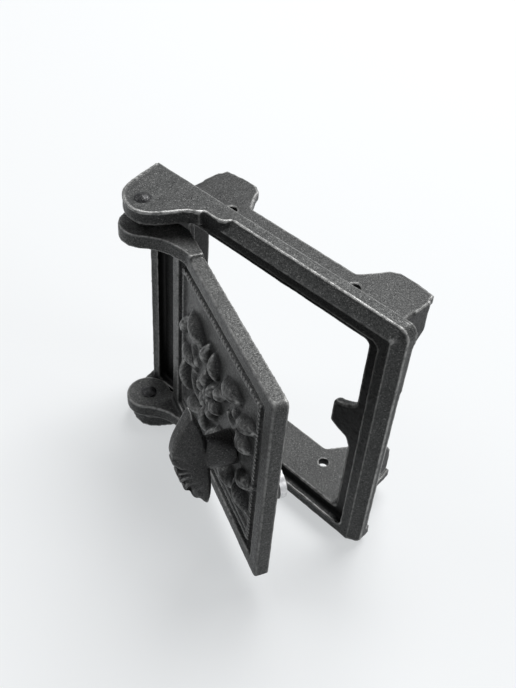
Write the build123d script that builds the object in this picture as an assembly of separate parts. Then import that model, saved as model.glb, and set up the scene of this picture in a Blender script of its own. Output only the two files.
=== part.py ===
from build123d import *
from math import atan2, degrees, hypot
import os

# A small cast iron clean-out door for a stove, standing on the lower rail of its frame.
# Millimetres. X runs along the frame, Y into the wall, Z up. The origin is in the middle
# of the frame's underside, and the door stands a little open.

# Frame casting: flange with a bevelled edge
FRAME_W = 160.0
FRAME_H = 144.0
RAIL_DEPTH = 6.7
SIDE_DEPTH = 3.9
STEP_DEPTH = 5.0
STEP_INSET = 36.0
BEVEL = 5.0
SIDE_RAIL = 10.3
END_RAIL = 10.0
CORNER_R = 5.6
OPENING_R = 4.0

# Stop lip that the closed door meets, and the collar behind it
LIP_T = 4.0
LIP_LEFT_INSET = 30.0
LIP_RIGHT_INSET = 17.8
LIP_TOP_INSET = 16.5
LIP_R = 3.0
COLLAR_INSET = 9.9
COLLAR_WALL = 5.0
COLLAR_SIDE_INSET = 12.5
COLLAR_SIDE_WALL = 5.5
COLLAR_REACH = 24.5
COLLAR_R = 2.0
WIRE_HOLE_R = 2.5
WIRE_HOLE_X = 39.0
WIRE_HOLE_Y = 16.4

# Hinge: ears of the frame and of the door on one rivet each
AXIS_INSET = 18.4
AXIS_OUT = 19.7
EAR_T = 7.5
RIVET_R = 2.8
RIVET_HEAD_R = 4.6
RIVET_HEAD_H = 2.0
RIVET_END = 1.0
FIT = 0.05
EAR_GAP = 0.2

# Door casting, measured from the hinge axis
DOOR_OPEN = 22.4
LEAF_START = 8.0
LEAF_END_INSET = 11.6
LEAF_Z0 = 11.0
LEAF_TOP_INSET = 14.5
LEAF_FRONT = 11.4
LEAF_BACK = 18.7
LEAF_CORNER_R = 3.0
LEAF_EDGE_R = 1.0
STOP_GAP = 0.3
RIM_W = 8.0
GROOVE_W = 5.0
GROOVE_DEPTH = 3.0
FIELD_RISE = 1.2
BEAD_W = 2.6
BEAD_H = 1.3
DOOR_EAR_R = 12.2
DOOR_EAR_SWEEP = [(16.3, 2.9), (20.4, 6.4), (25.5, 9.2)]
DOOR_EAR_REACH = 33.0
DOOR_HEEL = 14.0
UPPER_EAR_INSET = 13.0
RAIL_CLEAR = 0.5

# Where the door ear's sweep and heel leave its round, as shares of its radius
SWEEP_FOOT = (0.94, -0.34)
HEEL_FOOT = (0.2, 0.9)

# Handle and latch, on a shaft through the door
SHAFT_INSET = 39.0
SHAFT_Z = 64.0
SHAFT_R = 6.0
BOSS_R = 12.0
SHANK_R = 8.5
SHANK_HALF_H = 12.5
SHANK_OVERLAP = 2.0
SHANK_TRIM = 0.3
BLADE_T = 7.0
BLADE_EDGE_R = 1.6
TANG = 7.0
PEEN_R = 5.5
PEEN_H = 1.8
TONGUE_T = 3.2
TONGUE_STANDOFF = 6.0
TONGUE_REACH = 30.5
TONGUE_TIP_R = 7.0
TONGUE_DROP = 14.0
HUB_R = 9.0

# Overshoot of a cut, and overlap of pieces that are joined
OVER = 1.0

# Places that follow from the sizes above
STEP_Z = FRAME_H - STEP_INSET
LIP_LEFT = LIP_LEFT_INSET - FRAME_W / 2
LIP_RIGHT = FRAME_W / 2 - LIP_RIGHT_INSET
COLLAR_HALF_W = FRAME_W / 2 - COLLAR_SIDE_INSET
COLLAR_TOP = FRAME_H - COLLAR_INSET
AXIS_X = AXIS_INSET - FRAME_W / 2
LEAF_END = FRAME_W - AXIS_INSET - LEAF_END_INSET
LEAF_Z1 = FRAME_H - LEAF_TOP_INSET
SHAFT_U = LEAF_END - SHAFT_INSET
UPPER_EAR_TOP = FRAME_H - UPPER_EAR_INSET
RIDGE_Y = -RAIL_DEPTH / 2
BACK_Y = RAIL_DEPTH / 2
FRONT_Y = RIDGE_Y - BEVEL
AXIS_Y = RIDGE_Y - AXIS_OUT
LIP_Y = AXIS_Y + LEAF_BACK + STOP_GAP
COLLAR_BACK = RIDGE_Y + COLLAR_REACH
LOWER_EAR_Z = EAR_T + EAR_GAP
UPPER_EAR_Z = UPPER_EAR_TOP - EAR_T
FIELD_FRONT = LEAF_FRONT + GROOVE_DEPTH - FIELD_RISE
BOSS_FRONT = FIELD_FRONT - BEAD_H / 2
TONGUE_FRONT = LEAF_BACK + TONGUE_STANDOFF
TONGUE_BACK = TONGUE_FRONT + TONGUE_T

# Outline of a frame ear's nose, from its left flank to the flange, about the hinge axis
EAR_NOSE = [
    (-15.4, 4.8), (-12.0, -2.0), (-6.2, -7.0), (1.5, -9.3), (7.6, -8.4), (11.9, -5.0),
    (17.9, 4.1), (21.9, 9.7), (25.6, 12.7), (30.5, AXIS_OUT - BEVEL),
]
EAR_CORNER_X = -20.3
EAR_TAIL = 4.0

# Anchor plates above and below: (distance from the collar's side, distance behind the ridge)
END_LUG = [(34.5, 24.0), (28.1, 33.6), (26.2, 37.5), (21.7, 40.3), (10.5, 40.3), (1.5, 38.8), (0.0, 24.0)]

# Anchor plates at the sides: (distance behind the ridge, distance from the collar's top or bottom)
UPPER_SIDE_LUG = [(24.0, 0.0), (34.5, 0.0), (34.5, 16.1), (30.9, 19.8), (27.3, 23.7), (24.0, 25.6)]
LOWER_SIDE_LUG = [
    (24.0, 36.1), (28.9, 32.2), (31.5, 28.4), (32.7, 20.1), (32.1, 12.5), (27.4, 9.9), (24.0, 7.6),
]

# Catch for the latch: (distance past the mouth's free side, distance above the shaft)
KEEPER = [
    (1.3, 25.5), (0.0, 25.0), (-3.0, 23.0), (-6.4, 21.0), (-11.9, 19.2), (-12.7, 18.0),
    (-12.7, 5.6), (-7.7, 3.1), (-2.6, 1.5), (-0.6, -2.5), (1.3, -3.0),
]
KEEPER_BACK = 3.5

# Handle blade: (distance in front of the hinge axis, distance above the shaft),
# inner edge down, then the belly up
BLADE_INNER = [(8.4, 31.7), (3.4, 19.7), (0.1, 3.1), (-1.8, -12.6), (-2.3, -28.0), (-1.0, -34.7)]
BLADE_OUTER = [
    (-1.0, -34.7), (5.3, -28.7), (10.7, -20.5), (14.6, -8.2),
    (17.2, 4.0), (16.8, 11.0), (13.4, 21.5), (8.4, 31.7),
]

# Ribs of the blade's shell: they fan out from the root and start part of the way to their tips
FLUTE_ROOT = (0.0, -7.0)
FLUTE_TIPS = [(5.5, -26.5), (11.0, -17.5), (14.5, -7.0), (16.6, 3.5), (15.6, 13.5), (11.6, 23.5)]
FLUTE_START = 0.3
FLUTE_W = 6.6

# Field that the relief is drawn for: its middle and half its size
DRAWN_MIDDLE = (69.0, 70.25)
DRAWN_HALF = (48.0, 46.25)

# Relief of the door: leaves as (u, z, length, width, tilt), curls as (u, z, bend radius, start, sweep)
LEAVES = [
    (44.5, 96.0, 24.0, 9.0, -23.0),
    (44.5, 45.5, 24.0, 9.0, 23.0),
    (58.0, 93.0, 19.0, 7.5, 74.0),
    (58.0, 48.5, 19.0, 7.5, -74.0),
    (68.5, 93.5, 18.0, 7.5, 112.0),
    (68.5, 48.0, 18.0, 7.5, -112.0),
    (89.5, 98.5, 22.0, 9.2, 8.0),
    (89.5, 43.0, 22.0, 9.2, -8.0),
    (106.5, 94.5, 22.0, 8.5, 24.0),
    (106.5, 47.0, 22.0, 8.5, -24.0),
    (105.0, 81.0, 18.0, 8.0, 6.0),
    (109.0, 60.5, 21.0, 8.0, 22.0),
    (77.0, 84.5, 15.0, 8.0, 24.0),
    (77.5, 56.0, 13.0, 7.0, -32.0),
    (30.0, 88.0, 21.0, 8.0, 62.0),
    (30.0, 53.5, 21.0, 8.0, -62.0),
    (34.0, 70.8, 23.0, 7.0, 0.0),
]
CURLS = [
    (46.0, 80.5, 7.5, 20.0, 230.0),
    (46.0, 61.0, 7.5, 110.0, 230.0),
    (91.0, 84.5, 6.0, 200.0, 220.0),
    (101.0, 71.0, 13.5, 250.0, 70.0),
]
CURL_R = 2.3
BUD_R = 3.105
FLOWER = (63.5, 70.8)
PETALS = 6
PETAL_L = 13.0
PETAL_W = 8.0
PETAL_OUT = 8.06
FLOWER_R = 4.96
SINK = 0.6


def box(low, high):
    """Make a block between two opposite corners."""
    size = [b - a for a, b in zip(low, high)]
    return Pos(*low) * Box(*size, align=(Align.MIN, Align.MIN, Align.MIN))


def window(x0, z0, x1, z1, radius=0.0):
    """Make a rectangle from its corners, with round corners on request."""
    shape = RectangleRounded(x1 - x0, z1 - z0, radius) if radius else Rectangle(x1 - x0, z1 - z0)
    return Pos((x0 + x1) / 2, (z0 + z1) / 2) * shape


def upright(outline, front, back):
    """Extrude an (x, z) outline from the plane y = front to the plane y = back."""
    return extrude(Plane.XZ.offset(-front) * outline, -(back - front))


def polygon(points):
    """Fill a closed outline with straight sides."""
    return make_face(Polyline(*points, close=True))


def hang(shape):
    """Set a piece of the door on the hinge axis at its opening angle."""
    return Pos(AXIS_X, AXIS_Y, 0) * Rot(0, 0, -DOOR_OPEN) * shape


def mirrored(shape):
    """Add the mirror image of a shape across the frame's middle."""
    return shape + mirror(shape, Plane.YZ)


# Frame


def flange():
    """Make the front frame with its outer bevel and its deeper end rails."""
    outline = window(-FRAME_W / 2, 0, FRAME_W / 2, FRAME_H, CORNER_R)
    plate = upright(outline, FRONT_Y, RIDGE_Y + SIDE_DEPTH)
    plate = chamfer(plate.faces().sort_by(Axis.Y)[0].edges(), BEVEL)
    half = FRAME_W / 2
    lower = outline & window(-half, 0, half, END_RAIL)
    upper = outline & window(-half, FRAME_H - END_RAIL, half, FRAME_H)
    for rail in (lower, upper):
        plate += upright(rail, RIDGE_Y, BACK_Y)
    step = window(half - SIDE_RAIL, STEP_Z, half, FRAME_H - END_RAIL)
    plate += mirrored(upright(step, RIDGE_Y, RIDGE_Y + STEP_DEPTH))
    return plate


def flange_opening():
    """Make the cut for the opening that the door closes into."""
    inner = window(SIDE_RAIL - FRAME_W / 2, END_RAIL, FRAME_W / 2 - SIDE_RAIL, FRAME_H - END_RAIL, OPENING_R)
    return upright(inner, FRONT_Y - OVER, BACK_Y + OVER)


def ear_outline():
    """Draw a frame ear: round nose, sweep into the flange and a straight back."""
    tail = EAR_NOSE[-1][0] + EAR_TAIL
    back = AXIS_OUT + RAIL_DEPTH
    nose = Spline(*EAR_NOSE, tangents=[(0.35, -1), (1, 0)])
    front = Line(EAR_NOSE[-1], (tail, EAR_NOSE[-1][1]))
    end = TangentArc((tail, EAR_NOSE[-1][1]), (tail + BEVEL, AXIS_OUT), tangent=(1, 0))
    rest = Polyline((tail + BEVEL, AXIS_OUT), (tail + BEVEL, back), (EAR_CORNER_X, back), EAR_NOSE[0])
    return make_face([nose, front, end, *rest.edges()])


def frame_ears():
    """Make the upper and lower ears of the frame."""
    ear = Pos(AXIS_X, AXIS_Y, 0) * extrude(ear_outline(), EAR_T)
    return ear + Pos(0, 0, FRAME_H - EAR_T) * ear


def collar():
    """Make the tube behind the flange, with the stop lip at its mouth."""
    low = COLLAR_INSET
    high = COLLAR_TOP
    half = COLLAR_HALF_W
    inner_half = half - COLLAR_SIDE_WALL
    tube = upright(window(-half, low, half, high, COLLAR_R), LIP_Y, COLLAR_BACK)
    bore = window(-inner_half, low + COLLAR_WALL, inner_half, high - COLLAR_WALL, COLLAR_R)
    tube -= upright(bore, LIP_Y - OVER, COLLAR_BACK + OVER)
    side = FRAME_W / 2 - SIDE_RAIL + OVER
    end = END_RAIL - OVER
    plate = window(-side, end, side, FRAME_H - end)
    mouth = window(LIP_LEFT, low + COLLAR_WALL, LIP_RIGHT, FRAME_H - LIP_TOP_INSET, LIP_R)
    return tube + upright(plate - mouth, LIP_Y, LIP_Y + LIP_T)


def anchor_plates():
    """Make the plates behind the collar that are built into the masonry."""
    end = polygon([(COLLAR_HALF_W - x, RIDGE_Y + y) for x, y in END_LUG])
    plate = extrude(end, COLLAR_WALL)
    plates = Pos(0, 0, COLLAR_INSET) * plate + Pos(0, 0, COLLAR_TOP - COLLAR_WALL) * plate
    upper = [(RIDGE_Y + y, COLLAR_TOP - z) for y, z in UPPER_SIDE_LUG]
    lower = [(RIDGE_Y + y, COLLAR_INSET + z) for y, z in LOWER_SIDE_LUG]
    for lug in (upper, lower):
        plates += extrude(Plane.YZ.offset(COLLAR_HALF_W) * polygon(lug), -COLLAR_SIDE_WALL)
    return mirrored(plates)


def keeper():
    """Make the catch that the latch tongue turns behind."""
    outline = polygon([(LIP_RIGHT + x, SHAFT_Z + z) for x, z in KEEPER])
    return upright(outline, LIP_Y, RIDGE_Y + KEEPER_BACK)


def build_frame():
    """Join the frame casting and drill its holes."""
    body = flange() - flange_opening()
    body += collar()
    body += anchor_plates()
    body += keeper()
    body += frame_ears()
    for x in (-WIRE_HOLE_X, WIRE_HOLE_X):
        body -= Pos(x, RIDGE_Y + WIRE_HOLE_Y, FRAME_H / 2) * Cylinder(WIRE_HOLE_R, FRAME_H)
    body -= Pos(AXIS_X, AXIS_Y, FRAME_H / 2) * Cylinder(RIVET_R + FIT, FRAME_H + 2 * OVER)
    return body


# Hinge rivets


def rivet(bottom, seat):
    """Make a rivet from its lower end to its domed head on the seat."""
    shank = Cylinder(RIVET_R, seat - bottom, align=(Align.CENTER, Align.CENTER, Align.MIN))
    ball_r = (RIVET_HEAD_R**2 + RIVET_HEAD_H**2) / (2 * RIVET_HEAD_H)
    dome = Pos(0, 0, seat + RIVET_HEAD_H - ball_r) * Sphere(ball_r)
    above = Cylinder(RIVET_HEAD_R + OVER, RIVET_HEAD_H, align=(Align.CENTER, Align.CENTER, Align.MIN))
    head = dome & Pos(0, 0, seat) * above
    return Pos(AXIS_X, AXIS_Y, 0) * (Pos(0, 0, bottom) * shank + head)


# Door, drawn from the hinge axis with X along the closed door and Y towards the wall


def leaf_slab():
    """Make the plate of the door with its rim, groove and raised field."""
    outline = window(LEAF_START, LEAF_Z0, LEAF_END, LEAF_Z1, LEAF_CORNER_R)
    slab = upright(outline, LEAF_FRONT, LEAF_BACK)
    slab = fillet(slab.faces().sort_by(Axis.Y)[0].edges(), LEAF_EDGE_R)
    groove = inset(RIM_W) - inset(RIM_W + GROOVE_W)
    slab -= upright(groove, LEAF_FRONT - OVER, LEAF_FRONT + GROOVE_DEPTH)
    slab -= upright(inset(RIM_W + GROOVE_W), LEAF_FRONT - OVER, FIELD_FRONT)
    return slab


def inset(distance):
    """Make the rectangle that lies inside the door's outline by a distance."""
    return window(LEAF_START + distance, LEAF_Z0 + distance, LEAF_END - distance, LEAF_Z1 - distance)


def field_beads():
    """Make the mouldings round the field and the two bars along its foot."""
    edge = RIM_W + GROOVE_W
    ring = inset(edge) - inset(edge + BEAD_W)
    beads = upright(ring, FIELD_FRONT - BEAD_H, FIELD_FRONT + BEAD_H)
    foot = LEAF_Z0 + edge + 2 * BEAD_W
    bar = window(LEAF_START + edge + OVER, foot, LEAF_END - edge - OVER, foot + BEAD_W)
    return beads + upright(bar, FIELD_FRONT - BEAD_H, FIELD_FRONT + BEAD_H)


def spindle(length, width):
    """Make a pointed round leaf along X."""
    # The curve rises to three quarters of its inner points, which is half the width
    crown = 2 * width / 3
    rim = Bezier((-length / 2, 0), (-length / 6, crown), (length / 6, crown), (length / 2, 0))
    return revolve(make_face([rim, Line((length / 2, 0), (-length / 2, 0))]), Axis.X)


def on_field(u, z, sink):
    """Find the place on the door's field of a place on the drawn one."""
    edge = RIM_W + GROOVE_W
    place = []
    for value, middle, half, low, high in (
        (u, DRAWN_MIDDLE[0], DRAWN_HALF[0], LEAF_START, LEAF_END),
        (z, DRAWN_MIDDLE[1], DRAWN_HALF[1], LEAF_Z0, LEAF_Z1),
    ):
        share = (value - middle) / half
        place.append((low + high) / 2 + share * ((high - low) / 2 - edge))
    return Pos(place[0], FIELD_FRONT + sink, place[1])


def leaf_form(u, z, length, width, tilt):
    """Set a leaf on the field, half sunk and tilted in the door's plane."""
    return on_field(u, z, SINK) * Rot(0, -tilt, 0) * spindle(length, width)


def curl(u, z, bend, start, sweep):
    """Make a bent stem with a round bud at its inner end."""
    stem = revolve(Pos(bend, 0) * Circle(CURL_R), Axis.Y, -sweep)
    bud = Rot(0, -sweep, 0) * Pos(bend - CURL_R / 2, 0, 0) * Sphere(BUD_R)
    return on_field(u, z, SINK / 2) * Rot(0, -start, 0) * (stem + bud)


def relief():
    """Make the leaves, curls and the flower of the door's ornament."""
    forms = [leaf_form(*leaf) for leaf in LEAVES]
    forms += [curl(*bend) for bend in CURLS]
    middle = on_field(*FLOWER, SINK)
    petal = Pos(PETAL_OUT, 0, 0) * spindle(PETAL_L, PETAL_W)
    for k in range(PETALS):
        forms.append(middle * Rot(0, -360 / PETALS * k, 0) * petal)
    forms.append(middle * Sphere(FLOWER_R))
    return forms


def door_ear_outline():
    """Draw a door ear: round the rivet, then swept into the leaf's front and back."""
    start = tuple(DOOR_EAR_R * share for share in SWEEP_FOOT)
    end = (DOOR_EAR_REACH, LEAF_FRONT)
    heel = (DOOR_HEEL, LEAF_BACK)
    under = tuple(DOOR_EAR_R * share for share in HEEL_FOOT)
    sweep = Spline(start, *DOOR_EAR_SWEEP, end, tangents=[(0.45, 0.9), (1, 0)])
    back = Polyline(end, (DOOR_EAR_REACH, LEAF_BACK), heel)
    bend = TangentArc(heel, under, tangent=(-1, -0.12))
    neck = make_face([sweep, *back.edges(), bend, Line(under, (0, 0)), Line((0, 0), start)])
    return neck + Circle(DOOR_EAR_R)


def door_ears():
    """Make both ears of the door, the lower one cut back where the rail stands."""
    ear = extrude(door_ear_outline(), EAR_T)
    ears = Pos(0, 0, LOWER_EAR_Z) * ear + Pos(0, 0, UPPER_EAR_Z) * ear
    rail_front = AXIS_OUT - BEVEL - RAIL_CLEAR
    return ears - box((-2 * DOOR_EAR_R, rail_front, 0), (LEAF_END, 2 * AXIS_OUT, LEAF_Z0))


def build_door():
    """Join the door casting and bore it for the rivets and the shaft."""
    body = leaf_slab() + field_beads()
    for form in relief():
        body += form
    place = Pos(SHAFT_U, SHAFT_Z)
    body -= upright(place * Circle(BOSS_R), 0, BOSS_FRONT)
    body += upright(place * Circle(BOSS_R), BOSS_FRONT, (LEAF_FRONT + LEAF_BACK) / 2)
    for ear in door_ears().solids():
        body += ear
    body -= upright(place * Circle(SHAFT_R + FIT), 0, LEAF_BACK + OVER)
    body -= Pos(0, 0, FRAME_H / 2) * Cylinder(RIVET_R + FIT, FRAME_H)
    return hang(body)


# Handle and latch


def build_handle():
    """Make the fluted blade, its flared shank, the shaft and the riveted tang."""
    seat = BOSS_FRONT - STOP_GAP
    side = Plane.YZ.offset(SHAFT_U - BLADE_T / 2)
    inner = Spline(*[(-v, SHAFT_Z + z) for v, z in BLADE_INNER])
    outer = Spline(*[(-v, SHAFT_Z + z) for v, z in BLADE_OUTER])
    blade = extrude(side * make_face([inner, outer]), BLADE_T)
    blade = fillet(blade.faces().filter_by(Axis.X).edges(), BLADE_EDGE_R)
    circle = Plane.XZ.offset(-seat) * Pos(SHAFT_U, SHAFT_Z) * Circle(SHANK_R)
    oval = Pos(SHAFT_U, SHAFT_Z) * Ellipse(BLADE_T / 2 - SHANK_TRIM, SHANK_HALF_H)
    body = blade + loft([circle, Plane.XZ.offset(SHANK_OVERLAP) * oval])
    for tip in FLUTE_TIPS:
        body += flute(*tip)
    shaft = upright(Pos(SHAFT_U, SHAFT_Z) * Circle(SHAFT_R), seat, TONGUE_FRONT)
    tang = upright(Pos(SHAFT_U, SHAFT_Z) * Rectangle(TANG, TANG), TONGUE_FRONT, TONGUE_BACK + PEEN_H / 2)
    ball_r = (PEEN_R**2 + PEEN_H**2) / (2 * PEEN_H)
    ball = Pos(SHAFT_U, TONGUE_BACK + PEEN_H - ball_r, SHAFT_Z) * Sphere(ball_r)
    peen = ball & upright(Pos(SHAFT_U, SHAFT_Z) * Circle(PEEN_R + OVER), TONGUE_BACK, TONGUE_BACK + PEEN_H)
    return hang(body + shaft + tang + peen)


def flute(v, z):
    """Make one rib of the blade's shell, from its root towards the belly."""
    root_v = FLUTE_ROOT[0] + FLUTE_START * (v - FLUTE_ROOT[0])
    root_z = FLUTE_ROOT[1] + FLUTE_START * (z - FLUTE_ROOT[1])
    length = hypot(v - root_v, z - root_z)
    tilt = degrees(atan2(z - root_z, -(v - root_v)))
    place = Pos(SHAFT_U - BLADE_T / 2 + SINK, -(v + root_v) / 2, SHAFT_Z + (z + root_z) / 2)
    return place * Rot(tilt, 0, 0) * Rot(0, 0, 90) * spindle(length, FLUTE_W)


def build_tongue():
    """Make the latch tongue with its hub, parked just below the keeper."""
    tip = TONGUE_REACH - TONGUE_TIP_R
    outline = Circle(HUB_R) + Pos(tip, 0) * Circle(TONGUE_TIP_R)
    outline += polygon([(0, HUB_R), (tip, TONGUE_TIP_R), (tip, -TONGUE_TIP_R), (0, -HUB_R)])
    plate = upright(outline, TONGUE_FRONT, TONGUE_BACK)
    hub = upright(Circle(HUB_R), LEAF_BACK + STOP_GAP, TONGUE_FRONT)
    bore = upright(Circle(SHAFT_R + FIT), LEAF_BACK, TONGUE_FRONT)
    slot = upright(Rectangle(TANG + 2 * FIT, TANG + 2 * FIT), TONGUE_FRONT - OVER, TONGUE_BACK + OVER)
    tongue = Rot(0, TONGUE_DROP, 0) * (plate + hub - bore)
    return hang(Pos(SHAFT_U, 0, SHAFT_Z) * (tongue - slot))


os.makedirs("parts", exist_ok=True)
LOWER_HEAD_SEAT = LOWER_EAR_Z + EAR_T + EAR_GAP
export_step(build_frame(), "parts/frame.step")
export_step(rivet(EAR_GAP, LOWER_HEAD_SEAT), "parts/hinge_rivet_lower.step")
export_step(rivet(UPPER_EAR_Z - RIVET_END, FRAME_H), "parts/hinge_rivet_upper.step")
export_step(build_door(), "parts/door_leaf.step")
export_step(build_handle(), "parts/handle.step")
export_step(build_tongue(), "parts/latch_tongue.step")
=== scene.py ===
"""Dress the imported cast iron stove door: rough cast skins, riveted hinge, studio stage."""

from __future__ import annotations

import logging
import math
from dataclasses import dataclass
from enum import Enum

import bmesh
import bpy
import numpy as np
from mathutils import Matrix, Vector, noise

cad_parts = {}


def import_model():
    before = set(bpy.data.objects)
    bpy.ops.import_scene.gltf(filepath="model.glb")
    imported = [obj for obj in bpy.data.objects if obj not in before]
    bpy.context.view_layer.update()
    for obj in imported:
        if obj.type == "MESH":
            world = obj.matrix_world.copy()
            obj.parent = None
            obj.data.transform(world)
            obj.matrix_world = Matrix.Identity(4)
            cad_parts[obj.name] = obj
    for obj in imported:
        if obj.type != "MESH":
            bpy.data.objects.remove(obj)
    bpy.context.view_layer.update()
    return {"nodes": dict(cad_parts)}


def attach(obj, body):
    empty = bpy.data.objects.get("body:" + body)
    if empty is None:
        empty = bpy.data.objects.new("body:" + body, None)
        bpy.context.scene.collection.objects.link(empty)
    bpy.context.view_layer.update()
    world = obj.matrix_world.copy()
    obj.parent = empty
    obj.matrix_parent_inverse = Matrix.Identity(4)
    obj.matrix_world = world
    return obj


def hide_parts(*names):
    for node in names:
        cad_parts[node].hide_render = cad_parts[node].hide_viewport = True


LOG = logging.getLogger("stove_door")
MM = 0.001
Colour = tuple[float, float, float]
Socket = bpy.types.NodeSocket

# Hinge axis and opening angle of the door, as in the solids
AXIS = Vector((-61.6 * MM, -23.05 * MM, 0.0))
DOOR_OPEN = math.radians(22.4)
ALONG_DOOR = Vector((math.cos(DOOR_OPEN), -math.sin(DOOR_OPEN), 0.0))
OUT_OF_DOOR = Vector((-math.sin(DOOR_OPEN), -math.cos(DOOR_OPEN), 0.0))

# Field of the door in door millimetres: distance along it from the hinge axis, and height
FIELD_MIDDLE = (69.0, 70.25)
FIELD_HALF = (48.0, 46.25)

# Bend at which an edge is fully worn and highlit, and bend at which it carries a full bead
EDGE_BEND = 0.11
BEAD_BEND = 0.1

# Depth at which a hollow gets the full painted shade, and reach of the blur that it is measured from
RECESS_SHADE_MM = 0.45
WIDE_BLUR_MM = 3.2

# Lumps of the cast surface: noise scales per metre, their shares, and the shift inwards
LUMP_SCALES = (130.0, 420.0)
LUMP_SHARES = (0.65, 0.35)
LUMP_INWARD = 0.5

# Metres within which points are welded, and the share that one round of smoothing takes
WELD = 1e-6
SOFTEN = 0.5


class Body(Enum):
    """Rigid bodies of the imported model."""

    FRAME = "frame"
    DOOR = "door"
    LATCH = "latch"


class Slot(Enum):
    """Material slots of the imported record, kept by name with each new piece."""

    FRAME = "frame_casting"
    DOOR = "door_casting"
    HANDLE = "handle_casting"
    RIVET = "rivet_steel"


def ramp(value: np.ndarray, start: float, width: float) -> np.ndarray:
    """Rise from 0 to 1 over a width, from a start on."""
    return np.clip((value - start) / width, 0.0, 1.0)


def door_places(points: np.ndarray) -> tuple[np.ndarray, np.ndarray, np.ndarray]:
    """Turn places in metres into door millimetres.

    Args:
        points: The places, one a row.

    Returns:
        The distance along the door and in front of its plane from the hinge axis, and the height.
    """
    away = points - np.array(AXIS)
    return away @ np.array(ALONG_DOOR) / MM, away @ np.array(OUT_OF_DOOR) / MM, points[:, 2] / MM


@dataclass(frozen=True)
class Grain:
    """A noise of a material, and the two values that its low and high end are cut at."""

    scale: float
    detail: float = 3.0
    rough: float = 0.55
    low: float = 0.0
    high: float = 1.0


@dataclass
class Tree:
    """A thin hand on a shader's node tree."""

    material: bpy.types.Material

    def __post_init__(self) -> None:
        """Start from an empty tree with its two end nodes."""
        self.material.use_nodes = True
        self.nodes = self.material.node_tree.nodes
        self.links = self.material.node_tree.links
        self.nodes.clear()
        output = self.nodes.new("ShaderNodeOutputMaterial")
        self.shader = self.nodes.new("ShaderNodeBsdfPrincipled")
        self.links.new(self.shader.outputs["BSDF"], output.inputs["Surface"])
        self.place = self.nodes.new("ShaderNodeTexCoord").outputs["Object"]

    def noise(self, grain: Grain) -> Socket:
        """Add a noise that is fixed to the object, uncut.

        Args:
            grain: The noise's numbers.

        Returns:
            The noise value, from 0 to 1.
        """
        node = self.nodes.new("ShaderNodeTexNoise")
        node.inputs["Scale"].default_value = grain.scale
        node.inputs["Detail"].default_value = grain.detail
        node.inputs["Roughness"].default_value = grain.rough
        self.links.new(self.place, node.inputs["Vector"])
        return node.outputs["Fac"]

    def cut_noise(self, grain: Grain, to_low: float = 0.0) -> Socket:
        """Add a noise that is cut at its grain's low and high end, and runs from a value to 1."""
        return self.spread(self.noise(grain), grain.low, grain.high, to_low)

    def attribute(self, name: str) -> Socket:
        """Read a number that the mesh carries at its points.

        Args:
            name: The attribute's name.

        Returns:
            The number's socket.
        """
        node = self.nodes.new("ShaderNodeAttribute")
        node.attribute_name = name
        return node.outputs["Fac"]

    def spread(
        self, value: Socket, low: float, high: float, to_low: float = 0.0, to_high: float = 1.0
    ) -> Socket:
        """Map a value from one range to another, clamped.

        Args:
            value: The value to map.
            low: Start of its range.
            high: End of its range.
            to_low: What the start becomes.
            to_high: What the end becomes.

        Returns:
            The mapped value.
        """
        node = self.nodes.new("ShaderNodeMapRange")
        numbers = {"From Min": low, "From Max": high, "To Min": to_low, "To Max": to_high}
        for key, number in numbers.items():
            node.inputs[key].default_value = number
        self.links.new(value, node.inputs["Value"])
        return node.outputs["Result"]

    def maths(self, operation: str, first: Socket, second: Socket | float) -> Socket:
        """Join two values by a math operation.

        Args:
            operation: Blender's name of the operation.
            first: The first value.
            second: The second value, or a number.

        Returns:
            The result.
        """
        node = self.nodes.new("ShaderNodeMath")
        node.operation = operation
        self.links.new(first, node.inputs[0])
        if isinstance(second, float):
            node.inputs[1].default_value = second
        else:
            self.links.new(second, node.inputs[1])
        return node.outputs[0]

    def blend(self, factor: Socket, first: Socket | Colour, second: Socket | Colour) -> Socket:
        """Mix two colours, each a socket or three numbers.

        Args:
            factor: Share of the second colour.
            first: The first colour.
            second: The second colour.

        Returns:
            The mixed colour.
        """
        node = self.nodes.new("ShaderNodeMix")
        node.data_type = "RGBA"
        self.links.new(factor, node.inputs["Factor"])
        for key, colour in (("A", first), ("B", second)):
            socket = [s for s in node.inputs if s.name == key and s.type == "RGBA"][0]
            if isinstance(colour, tuple):
                socket.default_value = (*colour, 1.0)
            else:
                self.links.new(colour, socket)
        return [s for s in node.outputs if s.type == "RGBA"][0]

    def bump(self, height: Socket, depth: float, below: Socket | None = None) -> Socket:
        """Turn a height into a bumped normal, on top of another bump.

        Args:
            height: The height's value.
            depth: Depth of the bump in metres.
            below: Normal of the bump below it.

        Returns:
            The bumped normal.
        """
        node = self.nodes.new("ShaderNodeBump")
        node.inputs["Distance"].default_value = depth
        node.inputs["Strength"].default_value = 1.0
        self.links.new(height, node.inputs["Height"])
        if below is not None:
            self.links.new(below, node.inputs["Normal"])
        return node.outputs["Normal"]

    def seen(self) -> Socket:
        """Tell the rays that see a surface from those that light it.

        Returns:
            1 for camera, glossy and transmission rays, and 0 for the rest.
        """
        rays = self.nodes.new("ShaderNodeLightPath").outputs
        straight = self.maths("MAXIMUM", rays["Is Camera Ray"], rays["Is Glossy Ray"])
        return self.maths("MAXIMUM", straight, rays["Is Transmission Ray"])


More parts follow.
